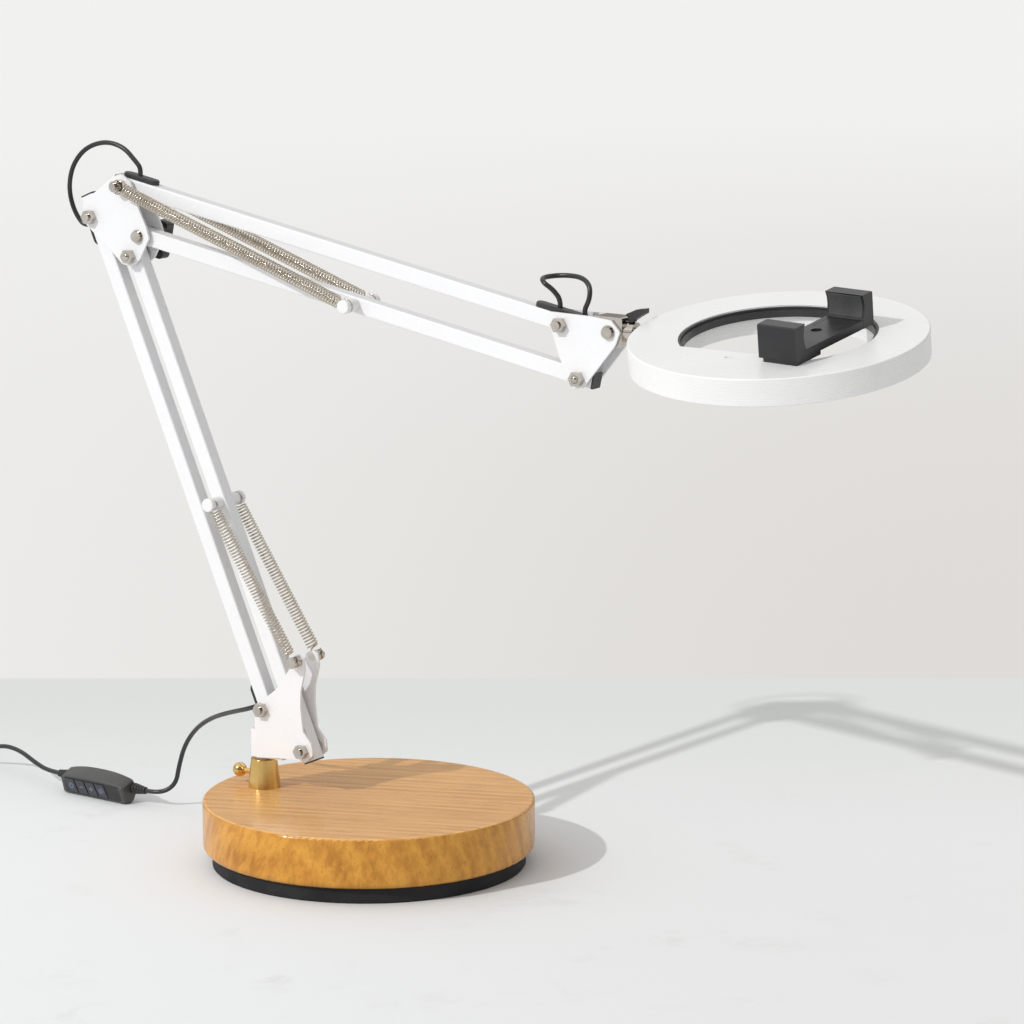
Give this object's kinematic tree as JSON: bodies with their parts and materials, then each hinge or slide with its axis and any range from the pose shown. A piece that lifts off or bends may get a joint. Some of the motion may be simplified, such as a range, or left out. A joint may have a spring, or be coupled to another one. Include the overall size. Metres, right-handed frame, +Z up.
{
  "type": "magnifying lamp",
  "caption": "Spring-balanced desk lamp arm on a round weighted wood base, with a tilting ring light, a phone clamp and an in-line cord controller.",
  "frame": {"origin": "centre of the foot's underside", "axes": "+X along the arm towards the ring light, +Y away from the side with the nuts, +Z up"},
  "size_m": [1.0173, 0.254, 0.5429],
  "materials": {
    "wood": "clear varnish, satin to gloss",
    "dark_foot": "matt black",
    "weight": "plain",
    "screw_steel": "zinc plated",
    "brass": "polished",
    "white_paint": "gloss powder coat",
    "nickel": "bright nickel",
    "spool": "white",
    "black_plastic": "matt black",
    "cord": "smooth black jacket",
    "lamp_shell": "white, fine layer lines on the rim",
    "diffuser": "translucent white",
    "board": "white solder mask",
    "clamp_black": "satin black",
    "button": "soft black"
  },
  "bodies": {
    "base": {"base_wood": "wood", "base_weight": "weight", "base_foot": "dark_foot", "base_screws": "screw_steel", "socket": "brass", "socket_nut": "screw_steel", "controller_back": "black_plastic", "controller_front": "black_plastic", "strain_reliefs": "black_plastic", "cord_lead": "cord", "cord_tail": "cord", "cord_coil": "cord", "plug_body": "black_plastic", "plug_shell": "nickel"},
    "thumbscrew": {"thumbscrew": "brass"},
    "bracket": {"post": "white_paint", "lower_plates": "white_paint", "lower_bolts": "nickel", "lower_nuts": "nickel", "lower_spacers": "screw_steel", "lower_spring_studs": "nickel", "lower_springs": "nickel"},
    "lower_rear_arm": {"lower_rear_tube": "white_paint", "lower_rear_caps": "black_plastic", "lower_grommets": "black_plastic"},
    "lower_front_arm": {"lower_front_tube": "white_paint", "lower_front_caps": "black_plastic", "lower_spring_pin": "spool"},
    "elbow": {"elbow_plates": "white_paint", "elbow_bolts": "nickel", "elbow_nuts": "nickel", "elbow_spacers": "screw_steel", "elbow_cable": "cord", "upper_springs": "nickel"},
    "elbow_knob": {"elbow_knob": "black_plastic"},
    "upper_top_arm": {"upper_top_tube": "white_paint", "upper_top_caps": "black_plastic", "upper_grommets": "black_plastic"},
    "upper_bottom_arm": {"upper_bottom_tube": "white_paint", "upper_bottom_caps": "black_plastic", "upper_spring_pin": "spool"},
    "head": {"head_plates": "white_paint", "head_bolts": "nickel", "head_nuts": "nickel", "head_spacers": "screw_steel", "head_cable": "cord"},
    "tilting_block": {"hinge_block": "nickel"},
    "head_lever": {"head_lever": "black_plastic"},
    "ring_light": {"ring_stem": "nickel", "ring_shell": "lamp_shell", "ring_lip": "black_plastic", "ring_diffuser": "diffuser", "led_board": "board", "clamp_foot": "clamp_black", "clamp_body": "clamp_black"},
    "clamp_jaw": {"clamp_jaw": "clamp_black"},
    "button_1": {"button_1": "button"},
    "button_2": {"button_2": "button"},
    "button_3": {"button_3": "button"},
    "button_4": {"button_4": "button"}
  },
  "joints": [
    {"name": "thumbscrew_turn", "type": "hinge", "parent": "base", "child": "thumbscrew", "pos_m": [-0.087, -0.015, 0.0615], "axis": [-1, 0, 0], "range_deg": [-180, 180]},
    {"name": "arm_swivel", "type": "hinge", "parent": "base", "child": "bracket", "pos_m": [-0.087, -0.015, 0.06], "axis": [0, 0, 1], "range_deg": [-90, 90], "deforming": ["cord_lead"]},
    {"name": "lower_arm", "type": "hinge", "parent": "bracket", "child": "lower_rear_arm", "pos_m": [-0.081, -0.015, 0.1145], "axis": [0, 1, 0], "range_deg": [-10, 60], "deforming": ["lower_springs"]},
    {"name": "lower_parallel", "type": "hinge", "parent": "bracket", "child": "lower_front_arm", "pos_m": [-0.0438, -0.015, 0.0863], "axis": [0, 1, 0], "range_deg": [-12, 62]},
    {"name": "elbow_level", "type": "hinge", "parent": "lower_rear_arm", "child": "elbow", "pos_m": [-0.23788, -0.015, 0.48408], "axis": [0, 1, 0], "range_deg": [-62, 12]},
    {"name": "elbow_knob_turn", "type": "hinge", "parent": "elbow", "child": "elbow_knob", "pos_m": [-0.19308, -0.015, 0.47163], "axis": [0, 1, 0], "range_deg": [-40, 40]},
    {"name": "upper_arm", "type": "hinge", "parent": "elbow", "child": "upper_top_arm", "pos_m": [-0.20808, -0.015, 0.50978], "axis": [0, 1, 0], "range_deg": [-50, 25], "deforming": ["elbow_cable", "upper_springs"]},
    {"name": "upper_parallel", "type": "hinge", "parent": "elbow", "child": "upper_bottom_arm", "pos_m": [-0.19308, -0.015, 0.47163], "axis": [0, 1, 0], "range_deg": [-52, 27]},
    {"name": "head_level", "type": "hinge", "parent": "upper_top_arm", "child": "head", "pos_m": [0.18577, -0.015, 0.4318], "axis": [0, 1, 0], "range_deg": [-27, 52]},
    {"name": "head_tilt", "type": "hinge", "parent": "head", "child": "tilting_block", "pos_m": [0.22598, -0.015, 0.4292], "axis": [0, 1, 0], "range_deg": [-40, 40], "deforming": ["head_cable"]},
    {"name": "head_lever_turn", "type": "hinge", "parent": "tilting_block", "child": "head_lever", "pos_m": [0.23972, -0.015, 0.42903], "axis": [0.0122, 0, 0.9999], "range_deg": [-80, 80]},
    {"name": "ring_roll", "type": "hinge", "parent": "tilting_block", "child": "ring_light", "pos_m": [0.22598, -0.015, 0.4292], "axis": [0.9999, 0, -0.0122], "range_deg": [-80, 80]},
    {"name": "clamp_slide", "type": "slide", "parent": "ring_light", "child": "clamp_jaw", "axis": [0.0891, 0.983, 0.1608], "range_m": [0, 0.013]},
    {"name": "button_1_press", "type": "slide", "parent": "base", "child": "button_1", "axis": [0.101, 0.9614, 0.2559], "range_m": [0, 0.0006], "stiffness_N_per_m": 300},
    {"name": "button_2_press", "type": "slide", "parent": "base", "child": "button_2", "axis": [0.101, 0.9614, 0.2559], "range_m": [0, 0.0006], "stiffness_N_per_m": 300},
    {"name": "button_3_press", "type": "slide", "parent": "base", "child": "button_3", "axis": [0.101, 0.9614, 0.2559], "range_m": [0, 0.0006], "stiffness_N_per_m": 300},
    {"name": "button_4_press", "type": "slide", "parent": "base", "child": "button_4", "axis": [0.101, 0.9614, 0.2559], "range_m": [0, 0.0006], "stiffness_N_per_m": 300}
  ],
  "couplings": [
    {"joint": "lower_parallel", "follows": "lower_arm", "ratio": 1},
    {"joint": "elbow_level", "follows": "lower_arm", "ratio": -1},
    {"joint": "upper_parallel", "follows": "upper_arm", "ratio": 1},
    {"joint": "head_level", "follows": "upper_arm", "ratio": -1}
  ]
}
